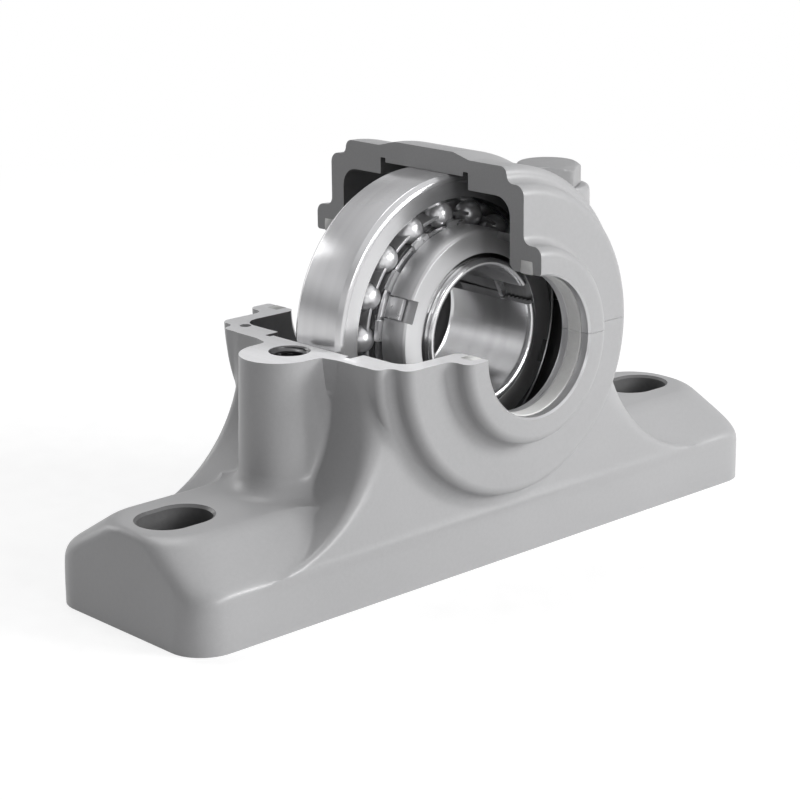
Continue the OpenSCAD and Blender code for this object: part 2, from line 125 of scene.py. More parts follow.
def new_object(name, verts, faces, smooth_angle=32):
    """Object from points in millimetres, with its normals turned outwards."""
    mesh = bpy.data.meshes.new(name)
    mesh.from_pydata([tuple(v) for v in np.asarray(verts, float) * MM], [], faces)
    obj = bpy.data.objects.new(name, mesh)
    bpy.context.scene.collection.objects.link(obj)
    bm = bmesh.new()
    bm.from_mesh(mesh)
    bmesh.ops.recalc_face_normals(bm, faces=bm.faces)
    bm.to_mesh(mesh)
    bm.free()
    shade(obj, smooth_angle)
    return obj


def shade(obj, angle):
    """Smooth shading, with edges sharper than the angle kept sharp."""
    mesh = obj.data
    mesh.polygons.foreach_set("use_smooth", [True] * len(mesh.polygons))
    mesh.set_sharp_from_angle(angle=math.radians(angle))


def bands(n, count, closed=False):
    """Quads between count outlines of n points, and from the last to the first if closed."""
    pairs = [(k, (k + 1) % count) for k in range(count if closed else count - 1)]
    return [(k * n + i, k * n + (i + 1) % n, m * n + (i + 1) % n, m * n + i)
            for k, m in pairs for i in range(n)]


def ends(n, count):
    """The first and the last of count outlines of n points, each as one face."""
    return [tuple(range(n)), tuple(range((count - 1) * n, count * n))]


def fan(n, start, tip):
    """Triangles from the outline of n points at start to one tip."""
    return [(start + i, start + (i + 1) % n, tip) for i in range(n)]


def fillet(points, steps):
    """Closed outline from (x, y, radius) corners, with each corner rounded."""
    out = []
    n = len(points)
    for i, (x, y, r) in enumerate(points):
        p = np.array([x, y], float)
        if r <= 0:
            out.append(tuple(p))
            continue
        a = np.array(points[i - 1][:2], float) - p
        b = np.array(points[(i + 1) % n][:2], float) - p
        la, lb = np.linalg.norm(a), np.linalg.norm(b)
        a, b = a / la, b / lb
        half = math.acos(max(-1.0, min(1.0, float(a @ b)))) / 2
        if half > math.pi / 2 - 0.01:
            out.append(tuple(p))
            continue
        t = min(r / math.tan(half), 0.49 * la, 0.49 * lb)
        r = t * math.tan(half)
        centre = p + (a + b) / np.linalg.norm(a + b) * (r / math.sin(half))
        s0, s1 = p + a * t - centre, p + b * t - centre
        a0, a1 = math.atan2(s0[1], s0[0]), math.atan2(s1[1], s1[0])
        turn = (a1 - a0 + math.pi) % (2 * math.pi) - math.pi
        for k in range(steps + 1):
            w = a0 + turn * k / steps
            out.append((centre[0] + r * math.cos(w), centre[1] + r * math.sin(w)))
    return out


def revolve(name, profile, segments=192, smooth_angle=32):
    """Closed (radius, y) outline turned round the shaft axis."""
    verts, index = [], []
    for r, y in profile:
        start = len(verts)
        if r < POLE_R:
            index.append([start] * segments)
            verts.append((0.0, y, AXIS_H))
            continue
        index.append([start + j for j in range(segments)])
        for j in range(segments):
            a = 2 * math.pi * j / segments
            verts.append((r * math.cos(a), y, AXIS_H + r * math.sin(a)))
    faces = []
    for i, low in enumerate(index):
        high = index[(i + 1) % len(index)]
        for j in range(segments):
            m = (j + 1) % segments
            face = tuple(dict.fromkeys((low[j], high[j], high[m], low[m])))
            if len(face) > 2:
                faces.append(face)
    return new_object(name, verts, faces, smooth_angle)


def mirrored(half):
    """Profile of (r, y, radius) corners for y >= 0, joined to its mirror image."""
    return half + [(r, -y, f) for r, y, f in reversed(half)]


def circle(x, y, r, n):
    return [(x + r * math.cos(a), y + r * math.sin(a))
            for a in np.linspace(0, 2 * math.pi, n, endpoint=False)]


def prism(name, outline, z0, z1, place=None):
    """Outline in (x, y) drawn up from z0 to z1, then placed by a function of a point."""
    n = len(outline)
    verts = [(x, y, z) for z in (z0, z1) for x, y in outline]
    if place:
        verts = [place(v) for v in verts]
    return new_object(name, verts, ends(n, 2) + bands(n, 2))


def block(name, low, high):
    """Box between two corners."""
    (x0, y0, z0), (x1, y1, z1) = low, high
    return prism(name, [(x0, y0), (x1, y0), (x1, y1), (x0, y1)], z0, z1)


def rod(name, x, y, r, z0, z1, n=64):
    """Upright cylinder."""
    return prism(name, circle(x, y, r, n), z0, z1)


def combine(obj, other, operation):
    """Boolean of two closed meshes; the second is used up."""
    mod = obj.modifiers.new("combine", "BOOLEAN")
    mod.operation = operation
    mod.object = other
    mod.solver = "MANIFOLD"
    graph = bpy.context.evaluated_depsgraph_get()
    mesh = bpy.data.meshes.new_from_object(obj.evaluated_get(graph))
    obj.modifiers.clear()
    old = obj.data
    obj.data = mesh
    bpy.data.meshes.remove(old)
    bpy.data.objects.remove(other, do_unlink=True)


def around(angle):
    """Moves a point drawn on +X of the shaft axis round to this angle, towards +Z."""
    c, s = math.cos(math.radians(angle)), math.sin(math.radians(angle))
    return lambda v: (v[0] * c - v[2] * s, v[1], AXIS_H + v[0] * s + v[2] * c)


def off_axis(x, z):
    """Distance from the shaft axis."""
    return np.hypot(x, z - AXIS_H)


# Materials

NOISE_SPAN = (0.3, 0.7)
TURN_DRIFT = 0.0006
ANISOTROPY = 0.45


def grey(value, cool=1.012):
    """A grey with a trace of blue."""
    return (value, value, value * cool)


class Nodes:
    """Writes a node tree down in few lines."""

    def __init__(self, tree, output):
        tree.nodes.clear()
        self.tree = tree
        self.out = self.add(output).inputs[0]

    def add(self, kind, **values):
        node = self.tree.nodes.new(kind)
        for key, value in values.items():
            setattr(node, key, value)
        return node

    def feed(self, socket, value):
        """Links a value of another node into a socket, or sets it to a number or colour."""
        if isinstance(value, (int, float, tuple)):
            socket.default_value = value
        else:
            self.tree.links.new(value, socket)

    def fill(self, node, inputs):
        """Feeds inputs by name, and gives the node's first output."""
        for name, value in inputs.items():
            self.feed(node.inputs[name], value)
        return node.outputs[0]

    def chain(self, node, *values):
        """Feeds inputs in their order, and gives the node's first output."""
        for socket, value in zip(node.inputs, values):
            self.feed(socket, value)
        return node.outputs[0]

    def calc(self, operation, *terms):
        return self.chain(self.add("ShaderNodeMath", operation=operation), *terms)

    def weigh(self, a, share, b):
        """A share of a, and the rest of b."""
        return self.calc("ADD", self.calc("MULTIPLY", a, share),
                         self.calc("MULTIPLY", b, 1 - share))

    def noise(self, vector, scale, detail, rough, distortion=0.0):
        return self.fill(self.add("ShaderNodeTexNoise"), {
            "Vector": vector, "Scale": scale, "Detail": detail, "Roughness": rough,
            "Distortion": distortion})

    def ramp(self, fac, stops):
        """Colours through (place, colour) stops."""
        node = self.add("ShaderNodeValToRGB")
        elements = node.color_ramp.elements
        while len(elements) < len(stops):
            elements.new(0.5)
        for element, (at, colour) in zip(elements, stops):
            element.position = at
            element.color = (*colour, 1)
        return self.chain(node, fac)

    def map_range(self, fac, low, high, a=NOISE_SPAN[0], b=NOISE_SPAN[1]):
        """Value that runs from low to high as fac runs from a to b."""
        return self.fill(self.add("ShaderNodeMapRange"), {
            "From Min": a, "From Max": b, "To Min": low, "To Max": high, "Value": fac})

    def mix(self, fac, a, b):
        return self.chain(self.add("ShaderNodeMixShader"), fac, a, b)

    def seen(self):
        """1 for rays that show the surroundings: camera, mirror and glass rays."""
        path = self.add("ShaderNodeLightPath")
        total = path.outputs["Is Camera Ray"]
        for name in ("Is Glossy Ray", "Is Transmission Ray"):
            total = self.calc("MAXIMUM", total, path.outputs[name])
        return total


class Material(Nodes):
    """Node tree of a new material, with a principled shader."""

    def __init__(self, name):
        self.mat = bpy.data.materials.new(name)
        self.mat.use_nodes = True
        super().__init__(self.mat.node_tree, "ShaderNodeOutputMaterial")
        self.bsdf = self.add("ShaderNodeBsdfPrincipled")
        self.feed(self.out, self.bsdf.outputs[0])

    def put(self, name, value):
        self.feed(self.bsdf.inputs[name], value)

    def greys(self, fac, low, high, span=NOISE_SPAN):
        """Base colour between two greys."""
        self.put("Base Color", self.ramp(fac, [(span[0], grey(low)), (span[1], grey(high))]))

    def bump(self, height, strength, distance, normal=None):
        inputs = {"Strength": strength, "Distance": distance, "Height": height}
        if normal is not None:
            inputs["Normal"] = normal
        return self.fill(self.add("ShaderNodeBump"), inputs)

    def place(self):
        """Object coordinates: the object's own frame, in metres."""
        return self.add("ShaderNodeTexCoord").outputs["Object"]

    def turned(self):
        """Coordinates (radius, y, small angle) round the shaft axis, for turned marks."""
        split = self.add("ShaderNodeSeparateXYZ")
        self.chain(split, self.place())
        x, y, height = split.outputs
        z = self.calc("SUBTRACT", height, AXIS_H * MM)
        squares = self.calc("ADD", self.calc("MULTIPLY", x, x), self.calc("MULTIPLY", z, z))
        drift = self.calc("COSINE", self.calc("ARCTAN2", z, x))
        return self.chain(self.add("ShaderNodeCombineXYZ"), self.calc("SQRT", squares), y,
                          self.calc("MULTIPLY", drift, TURN_DRIFT))


def painted_casting(name, low, high):
    """Satin grey paint over fine sand-cast iron."""
    m = Material(name)
    at = m.place()
    broad = m.noise(at, 22, 3, 0.5)
    fine = m.noise(at, 900, 5, 0.6)
    grain = m.noise(at, 2600, 2, 0.5)
    m.greys(m.weigh(broad, 0.55, fine), low, high)
    m.put("Roughness", m.map_range(fine, 0.33, 0.44))
    m.put("Specular IOR Level", 0.75)
    soft = m.bump(broad, 0.25, 0.0006)
    sand = m.bump(fine, 0.22, 0.00012, soft)
    m.put("Normal", m.bump(grain, 0.12, 0.00005, sand))
    return m.mat


def cut_iron(name, low, high, rough):
    """Sawn and milled iron: fine straight tool marks with a close grain."""
    m = Material(name)
    at = m.place()
    turn = m.add("ShaderNodeMapping")
    marks = m.noise(m.fill(turn, {"Vector": at, "Rotation": (0.3, 0.5, 0.62),
                                  "Scale": (1.0, 0.03, 0.03)}), 900, 3, 0.6)
    grain = m.noise(at, 1500, 4, 0.6)
    m.greys(m.weigh(marks, 0.5, grain), low, high, (0.32, 0.68))
    m.put("Roughness", m.map_range(marks, rough - 0.05, rough + 0.08))
    m.put("Normal", m.bump(marks, 0.25, 0.00002, m.bump(grain, 0.1, 0.00002)))
    return m.mat


def turned_steel(name, low, high, rough, lines=5200, strength=0.18, metallic=1.0):
    """Turned or ground steel: fine rings round the shaft axis, with a soft variation."""
    m = Material(name)
    at = m.turned()
    rings = m.noise(at, lines, 4, 0.6)
    broad = m.noise(at, lines / 12, 2, 0.5)
    smear = m.noise(m.place(), 60, 3, 0.5)
    m.greys(m.weigh(broad, 0.5, smear), low, high)
    m.put("Roughness", m.map_range(m.weigh(rings, 0.6, smear), rough - 0.05, rough + 0.07))
    m.put("Normal", m.bump(rings, strength, 0.000012))
    m.put("Tangent", m.add("ShaderNodeTangent", direction_type="RADIAL", axis="Y").outputs[0])
    m.put("Anisotropic", ANISOTROPY)
    m.put("Metallic", metallic)
    return m.mat


def plain_steel(name, low, high, rough, scale=700, strength=0.12, metallic=1.0):
    """Pressed or drawn steel: a fine even grain."""
    m = Material(name)
    at = m.place()
    grain = m.noise(at, scale, 4, 0.6)
    broad = m.noise(at, 90, 2, 0.5)
    m.greys(m.weigh(grain, 0.4, broad), low, high)
    m.put("Roughness", m.map_range(grain, rough - 0.04, rough + 0.06))
    m.put("Normal", m.bump(grain, strength, 0.00002))
    m.put("Metallic", metallic)
    return m.mat


def wool_felt(name):
    """Pressed wool: off-white, matt, with fibres and tufts."""
    m = Material(name)
    at = m.place()
    fibre = m.noise(at, 2400, 6, 0.75, 1.5)
    tuft = m.noise(at, 500, 3, 0.6)
    mix = m.weigh(fibre, 0.6, tuft)
    m.put("Base Color", m.ramp(mix, [(0.3, (0.80, 0.80, 0.785)), (0.7, (0.93, 0.93, 0.915))]))
    m.put("Roughness", 0.9)
    m.put("Sheen Weight", 0.3)
    m.put("Normal", m.bump(mix, 0.6, 0.0002))
    return m.mat


PAINT = painted_casting("casting_paint", 0.40, 0.445)
# Dark copy of the casting paint: painted shade for the faces inside the rooms and on the slot
# walls
PAINTED_SHADE_INSIDE = painted_casting("casting_painted_shade", 0.10, 0.13)
SPLIT = cut_iron("split_face", 0.88, 0.95, rough=0.45)
SECTION = cut_iron("section_face", 0.33, 0.38, rough=0.5)
SEAT = turned_steel("machined_bore", 0.62, 0.72, 0.30, lines=4200, strength=0.3, metallic=0.6)
RING = turned_steel("ring_steel", 0.62, 0.72, 0.19, metallic=0.72)
RACE = turned_steel("raceway", 0.42, 0.50, 0.14)
NUT = turned_steel("nut_steel", 0.56, 0.66, 0.34, lines=3600, strength=0.3, metallic=0.65)
# Dark steel: painted shade in the bores of the nut and the inner ring and in the tapped holes
BORE_PAINTED_SHADE = turned_steel("steel_painted_shade", 0.10, 0.16, 0.30, lines=3600, strength=0.3)
SLEEVE = turned_steel("sleeve_steel", 0.70, 0.82, 0.18, metallic=0.8)
BALL = plain_steel("ball_steel", 0.80, 0.88, 0.31, scale=300, strength=0.02, metallic=0.65)
CAGE = plain_steel("cage_steel", 0.62, 0.74, 0.34, metallic=0.7)
WASHER = plain_steel("washer_steel", 0.62, 0.72, 0.30, metallic=0.7)
PIN = plain_steel("pin_steel", 0.5, 0.6, 0.25)
BOLT = painted_casting("bolt_paint", 0.30, 0.35)
FELT = wool_felt("wool_felt")

CASTING_MATERIALS = (PAINT, SPLIT, SECTION, SEAT, PAINTED_SHADE_INSIDE, BORE_PAINTED_SHADE)
IN_PAINT, IN_SPLIT, IN_SECTION, IN_SEAT, IN_PAINTED_SHADE, IN_BORE_SHADE = range(6)


def assign(obj, *materials):
    obj.data.materials.clear()
    for m in materials:
        obj.data.materials.append(m)


def sort_faces(obj, rule):
    """Gives each face the material whose number rule(centres, normals) names."""
    mesh = obj.data
    n = len(mesh.polygons)
    centre, normal = np.empty(3 * n), np.empty(3 * n)
    mesh.polygons.foreach_get("center", centre)
    mesh.polygons.foreach_get("normal", normal)
    index = rule(centre.reshape(n, 3) / MM, normal.reshape(n, 3))
    mesh.polygons.foreach_set("material_index", index.astype(np.int32))


def within(radius):
    """Rule for sort_faces: the second material for faces nearer the shaft axis."""
    return lambda centre, normal: off_axis(centre[:, 0], centre[:, 2]) < radius


def casting_rule(centre, normal):
    """Paint outside, painted shade inside the rooms, on the slot walls and in the tapped
    holes, and a machined face where a tool has been.
    """
    x, y, z = centre.T
    nx, ny, nz = normal.T
    aside, split_gap = np.abs(y), np.abs(z - AXIS_H)
    rho = off_axis(x, z)
    toward = -(nx * x + nz * (z - AXIS_H)) / np.maximum(rho, TINY)
    out = np.full(len(x), IN_PAINT)
    room = (rho < SEAT_R + RELIEF_D + 0.3) & (aside < INSIDE_W / 2 + 0.05)
    room &= (aside < BAND_Y) | (ny * np.sign(y) < 0.2)
    # The faces inside the rooms, the seat among them, get the dark paint: painted shade
    out[room & (toward > -0.2)] = IN_PAINTED_SHADE
    opening = (rho < GROOVE_R + 0.2) & (aside > INSIDE_W / 2 - 0.1)
    out[opening & ((toward > 0.2) | (rho < GROOVE_R - 0.05))] = IN_SEAT
    out[(np.abs(ny) > 0.9) & (aside > BOSS_W / 2 - 0.1)] = IN_PAINT
    for side in (-1, 1):
        tapped = np.hypot(x - side * BOLT_PITCH / 2, y) < TAP_R + COUNTERSINK + 0.2
        # The tapped holes get the dark steel: painted shade
        out[tapped & (z > AXIS_H / 2) & (z < AXIS_H - 0.1)] = IN_BORE_SHADE
        pin = np.hypot(x - side * DOWEL_X, y - DOWEL_Y) < DOWEL_D / 2 + 0.2
        out[pin & (split_gap < DOWEL_DEPTH + 1)] = IN_SEAT
        slot = np.abs(x - side * SLOT_PITCH / 2) < SLOT_L / 2 + SLOT_BEVEL + 0.1
        slot &= (aside < SLOT_W / 2 + SLOT_BEVEL + 0.1) & (z < PAD_H)
        # The slot walls get the dark paint: painted shade
        out[slot & (np.abs(nz) < 0.9)] = IN_PAINTED_SHADE
    out[(split_gap < 0.01) & (np.abs(nz) > 0.99)] = IN_SPLIT
    out[(np.abs(x) < 0.01) & (np.abs(nx) > 0.99) & (z > AXIS_H)] = IN_SECTION
    out[(z < 0.01) & (nz < -0.99)] = IN_SPLIT
    return out


# Castings: reaches are distances from the middle in directions (|cos|, |sin|)

def smooth_max(a, b, k):
    """Larger of two, rounded over where they differ by less than k."""
    h = np.maximum(k - np.abs(a - b), 0) / k
    return np.maximum(a, b) + h * h * k / 4


def smooth_min(a, b, k):
    return -smooth_max(-a, -b, k)


def quarter(h, r):
    """How far a quarter circle of radius r has turned aside after a rise of h."""
    h = min(max(h, 0.0), r)
    return r - math.sqrt(r * r - h * h)


def lug_reach(c, s, r):
    """Bolting lug of radius r round the bolt, with flat sides towards the middle."""
    side = LUG_X * s > r * c
    cap = LUG_X * c + np.sqrt(np.maximum(r * r - (LUG_X * s) ** 2, 0))
    return np.where(side, r / np.maximum(s, TINY), cap)


def rect_reach(c, s, half_l, half_w, r):
    """Rectangle with its corners rounded to r."""
    x, y = half_l - r, half_w - r
    m = x * c + y * s
    corner = m + np.sqrt(np.maximum(m * m - x * x - y * y + r * r, 0))
    out = np.where(half_l * s <= y * c, half_l / np.maximum(c, TINY), corner)
    return np.where((half_w * c <= x * s) & (half_l * s > y * c),
                    half_w / np.maximum(s, TINY), out)


def tower_reach(c, s, z):
    """Tower at height z: hollow flanks, flat front and rear, and a lug at each end."""
    if z > AXIS_H:
        half = math.sqrt(TOWER_X ** 2 - (z - AXIS_H) ** 2)
    else:
        half = TOWER_X + quarter(FLARE_TOP - z, FLARE_R)
    lug_r = LUG_R + LUG_DRAFT * (AXIS_H - z) + quarter(PAD_H + LUG_FOOT - z, LUG_FOOT)
    ends_blend = CORNER_BLEND * min(1.0, (z - EDGE_H / 2) / (FLARE_TOP - EDGE_H / 2))
    ends_reach = smooth_max(half / np.maximum(c, TINY), lug_reach(c, s, lug_r), LUG_BLEND)
    return smooth_min(ends_reach, TOWER_Y / np.maximum(s, TINY), ends_blend)


def foot_reach(c, s, z):
    """Foot at height z, upright below and sloped to the pads, run into the tower."""
    k = (z - EDGE_H) / (PAD_H - EDGE_H)
    lip = quarter(z - (PAD_H - PAD_LIP), PAD_LIP)
    upright = rect_reach(c, s, BASE_L / 2, BASE_W / 2, FOOT_R)
    slope = rect_reach(c, s, BASE_L / 2 - k * PAD_INSET - lip,
                       (1 - k) * BASE_W / 2 + k * PAD_W / 2 - lip,
                       (1 - k) * FOOT_R + k * PAD_ROUND)
    foot = smooth_min(upright, slope, RIDGE_BLEND)
    if z < EDGE_H / 2 + 1:
        return foot
    near = min(1.0, max(0.0, (z - EDGE_H + FOOT_RISE) / FOOT_RISE))
    merged = smooth_max(foot, tower_reach(c, s, z),
                        FOOT_BLEND * max(k, FOOT_SHARE * near) + 0.01)
    return foot + (merged - foot) * near


BODY_HALF = [
    (CROWN_R, CROWN_W / 2 - 2, 4),
    (BAND_R, CROWN_W / 2 + 4, 5),
    (BAND_R, BAND_Y + 1.6, 2.4),
    (FLANGE_R, BAND_Y + 2.0, 2.2),
    (FLANGE_R, SIDE_Y, 5.6),
    (BOSS_R, SIDE_Y, 2.4),
    (BOSS_R, BOSS_W / 2, 2.6),
    (0, BOSS_W / 2, 0),
]


def body_reach(c, s, z):
    """Round body at height z without its seal bosses, a little inside its surface."""
    out = np.zeros_like(c)
    wheel = [(0, 0, 0), (CROWN_R, 0, 0), *BODY_HALF[:6], (0, SIDE_Y, 0)]
    for r, y in fillet(wheel, 10):
        if y < 0 or r < BOSS_R:
            continue
        r, y = r - BODY_SHRINK, y - BODY_SHRINK
        x = math.sqrt(max(0.0, r * r - (z - AXIS_H) ** 2))
        if x > 0:
            out = np.maximum(out, np.minimum(x / np.maximum(c, TINY),
                                             y / np.maximum(s, TINY)))
    return out


def level(z, reach, drop=0.0):
    """Outline at height z, drawn in by drop and joined to the round body by a fillet."""
    return z, lambda c, s: smooth_max(reach(c, s, z) - drop, body_reach(c, s, z),
                                      FLANGE_FILLET)


def loft(name, levels, n=480, stretch=2.0):
    """Closed mesh through levels, with points closer together at the two ends."""
    u = (np.arange(n) + 0.5) * 2 * np.pi / n
    t = np.arctan2(np.sin(u), stretch * np.cos(u))
    c, s = np.abs(np.cos(t)), np.abs(np.sin(t))
    verts = []
    for z, reach in levels:
        r = reach(c, s)
        verts.append(np.stack([r * np.cos(t), r * np.sin(t), np.full(n, z)], 1))
    verts.append(np.array([[0, 0, levels[0][0]], [0, 0, levels[-1][0]]]))
    count = len(levels)
    faces = bands(n, count) + fan(n, 0, count * n) + fan(n, (count - 1) * n, count * n + 1)
    return new_object(name, np.concatenate(verts), faces)


def cavity():
    """Everything that is bored out round the shaft: seat, rooms, openings, felt grooves."""
    inner, outer = GROOVE_Y - FELT_W / 2, GROOVE_Y + FELT_W / 2
    half = [
        (SEAT_R, SEAT_W / 2 - RELIEF_W, 0.15),
        (SEAT_R + RELIEF_D, SEAT_W / 2 - RELIEF_W, 0.3),
        (SEAT_R + RELIEF_D, SEAT_W / 2, 0.3),
        (CAVITY_R, SEAT_W / 2, 0.4),
        (CAVITY_R, INSIDE_W / 2, 5.0),
        (OPENING_R + 1.4, INSIDE_W / 2, 0.3),
        (OPENING_R, INSIDE_W / 2 + 1.4, 0.3),
        (OPENING_R, inner, 0.2),
        (GROOVE_R, inner + 0.3, 0.4),
        (GROOVE_R, outer - 0.3, 0.4),
        (OPENING_R, outer, 0.2),
        (OPENING_R, BOSS_W / 2 - 0.5, 0),
        (OPENING_R + 0.6, BOSS_W / 2 + 0.1, 0),
        (OPENING_R + 0.6, BOSS_W / 2 + 1, 0),
        (0, BOSS_W / 2 + 1, 0),
    ]
    return revolve("cavity", fillet(mirrored(half), 6), 256)


def slot_cutter(x):
    """Long hole through the foot, bevelled at its mouth."""
    half = (SLOT_L - SLOT_W) / 2
    turn = np.linspace(0, math.pi, 33)
    spokes = [(half, math.sin(a), -math.cos(a)) for a in turn]
    spokes += [(-half, -math.sin(a), math.cos(a)) for a in turn]
    levels = [(-1.0, 0.0), (PAD_H - SLOT_BEVEL, 0.0), (PAD_H + 0.05, SLOT_BEVEL),
              (PAD_H + 1, SLOT_BEVEL)]
    verts = []
    for z, grow in levels:
        r = SLOT_W / 2 + grow
        verts += [(x + shift + r * dx, r * dy, z) for shift, dx, dy in spokes]
    n, count = len(spokes), len(levels)
    return new_object("slot_cutter", verts, ends(n, count) + bands(n, count))


def thread_cutter(x, depth, n=72):
    """Tapped hole in the split face: a helical thread, and a cone at its mouth."""
    step, start, tooth_h = THREAD_PITCH / 10, AXIS_H + 0.5, 0.8
    count = int(depth / step) + 1
    a = np.arange(n) * 2 * np.pi / n
    verts = []
    for k in range(count):
        z = start - k * step
        phase = (z / THREAD_PITCH - a / (2 * np.pi)) % 1.0
        tooth = np.clip(1.4 * (1 - np.abs(2 * phase - 1)) - 0.2, 0, 1)
        mouth = max(0.0, COUNTERSINK - (AXIS_H - z))
        r = np.maximum(TAP_R + tooth_h * tooth, TAP_R + mouth)
        verts += [(x + ri * math.cos(ai), ri * math.sin(ai), z) for ri, ai in zip(r, a)]
    tip = start - (count - 1) * step - TAP_R * 0.6
    verts += [(x, 0, tip), (x, 0, start)]
    faces = bands(n, count) + fan(n, (count - 1) * n, count * n) + fan(n, 0, count * n + 1)
    return new_object("thread_cutter", verts, faces)


def dowel_cutter(side, z0, z1):
    return rod("dowel", side * DOWEL_X, DOWEL_Y, DOWEL_D / 2 + TIGHT_GAP, z0, z1, 48)


def bore_casting(casting, cutter, operation):
    """Adds the round body, cuts the casting at the split and bores it."""
    body = revolve("body", fillet(mirrored(BODY_HALF), 10), 256)
    combine(casting, body, "UNION")
    combine(casting, cutter, operation)
    combine(casting, cavity(), "DIFFERENCE")


def finish_casting(casting):
    assign(casting, *CASTING_MATERIALS)
    sort_faces(casting, casting_rule)
    shade(casting, 40)
    return casting


def make_base():
    """Foot, tower and lower half of the body; levels lie close where the form turns."""
    heights = [0.0, 0.6, 4, 8, 10, *np.linspace(11, EDGE_H + 3, 12)]
    heights += [*np.linspace(18.0, 23, 16), 23.4, 23.8, 24.2, 24.5, 24.75, 24.92, PAD_H]
    levels = [level(z, foot_reach) for z in heights]
    low = math.acos((FLARE_TOP - PAD_H) / FLARE_R)
    flank = [FLARE_TOP - FLARE_R * math.cos(w) for w in np.linspace(low, math.pi / 2, 35)]
    heights = [25.08, 25.3, 25.7, 26.2, 26.8, 27.5, 28.3, 29.2]
    heights += [round(z, 3) for z in flank if z > 25.6]
    heights += list(np.linspace(51.3, 60.5, 12))
    levels += [level(z, tower_reach) for z in sorted(set(heights))]
    base = loft("housing_base_piece", levels)
    bore_casting(base, block("cut", (-FAR_X, -FAR_Y, AXIS_H), (FAR_X, FAR_Y, FAR_Z)),
                 "DIFFERENCE")
    for side in (-1, 1):
        combine(base, slot_cutter(side * SLOT_PITCH / 2), "DIFFERENCE")
        combine(base, thread_cutter(side * BOLT_PITCH / 2, BOLT_L - LUG_H + 4.5), "DIFFERENCE")
        combine(base, dowel_cutter(side, AXIS_H - DOWEL_DEPTH, AXIS_H + 2), "DIFFERENCE")
    return finish_casting(base)


def make_cap():
    """Right half of the cap, with a hair line between it and the base."""
    top = AXIS_H + LUG_H
    levels = [level(z, tower_reach) for z in np.linspace(AXIS_H - 0.5, top - CAP_EDGE, 44)]
    for k in range(1, 7):
        w = math.pi / 2 * k / 6
        levels.append(level(top - CAP_EDGE + CAP_EDGE * math.sin(w), tower_reach,
                            CAP_EDGE * (1 - math.cos(w))))
    cap = loft("housing_cap_piece", levels)
    bore_casting(cap, block("keep", (0, -FAR_Y, AXIS_H + SPLIT_LINE), (FAR_X, FAR_Y, FAR_Z)),
                 "INTERSECT")
    combine(cap, rod("clear", BOLT_PITCH / 2, 0, BOLT_D / 2 + 0.5, 50, 130), "DIFFERENCE")
    combine(cap, dowel_cutter(1, 50, AXIS_H + DOWEL_DEPTH), "DIFFERENCE")
    return finish_casting(cap)


# Bolt and felts

def make_bolt():
    """Hexagon head with a bevelled round top and a washer face, over its shank."""
    x, z0 = BOLT_PITCH / 2, AXIS_H + LUG_H
    corner = HEAD_AF / math.sqrt(3) - 0.12
    face_r = HEAD_AF / 2 - 0.35
    round_cuts = [(0.0, face_r), (0.45, face_r), (0.46, corner), (4.6, corner), (5.0, 9.55),
                  (5.3, 9.2), (5.7, 8.75), (6.1, 8.2), (6.32, 7.8), (HEAD_H, 7.4)]
    n, count = 96, len(round_cuts)
    verts = []
    for z, limit in round_cuts:
        for i in range(n):
            a = 2 * math.pi * i / n
            local = (a + math.pi / 6) % (math.pi / 3) - math.pi / 6
            r = min(HEAD_AF / 2 / math.cos(local), limit)
            verts.append((x + r * math.cos(a), r * math.sin(a), z0 + z))
    verts += [(x, 0, z0), (x, 0, z0 + HEAD_H)]
    faces = bands(n, count) + fan(n, 0, count * n) + fan(n, (count - 1) * n, count * n + 1)
    bolt = new_object("cap_bolt_piece", verts, faces, 24)
    combine(bolt, rod("shank", x, 0, BOLT_D / 2 - 0.02, AXIS_H + 0.1, z0 + 1), "UNION")
    combine(bolt, rod("core", x, 0, TAP_R - 0.05, z0 - BOLT_L, AXIS_H + 1), "UNION")
    assign(bolt, BOLT)
    shade(bolt, 24)
    return bolt


def make_felt(name, side, upper):
    """Felt strip in its groove, a little proud of the opening's wall."""
    y, w = side * GROOVE_Y, FELT_W / 2 - 0.03
    proud_r, back_r = OPENING_R - 0.18, GROOVE_R - 0.02
    profile = fillet([
        (proud_r, y - w + 0.1, 0.35), (back_r, y - w + 0.3, 0.2),
        (back_r, y + w - 0.3, 0.2), (proud_r, y + w - 0.1, 0.35),
    ], 5)
    felt = revolve(name, profile)
    if upper:
        keep = block("keep", (0.0, -FAR_Y, AXIS_H), (FAR_X, FAR_Y, FAR_Z))
    else:
        keep = block("keep", (-FAR_X, -FAR_Y, -10), (FAR_X, FAR_Y, AXIS_H))
    combine(felt, keep, "INTERSECT")
    assign(felt, FELT)
    return felt


# Bearing

def make_outer_ring():
    """Ring with a stepped rim and a spherical raceway, bevelled where the two meet."""
    half_w, r = BRG_W / 2, BRG_D / 2
    lip = math.sqrt(RACE_R ** 2 - half_w ** 2) + RACE_BEVEL
    edge = half_w
    while lip - (half_w - edge) > math.sqrt(RACE_R ** 2 - edge ** 2):
        edge -= 0.01
    race = [(math.sqrt(RACE_R ** 2 - y ** 2), y) for y in np.linspace(edge, -edge, 25)]
    rim = fillet([
        (r - 2.1, -half_w, 0.35), (r - 0.75, -half_w + 0.45, 0.5), (r, -half_w + 1.75, 0.6),
        (r, half_w - 1.75, 0.6), (r - 0.75, half_w - 0.45, 0.5), (r - 2.1, half_w, 0.35),
    ], 4)
    profile = [(lip, -half_w), *rim, (lip, half_w), *race]
    ring = revolve("outer_ring_piece", [(x, y + FLOAT_REST) for x, y in profile], 256, 25)
    assign(ring, RING, RACE)
    sort_faces(ring, within(RACE_R + 0.02))
    return ring


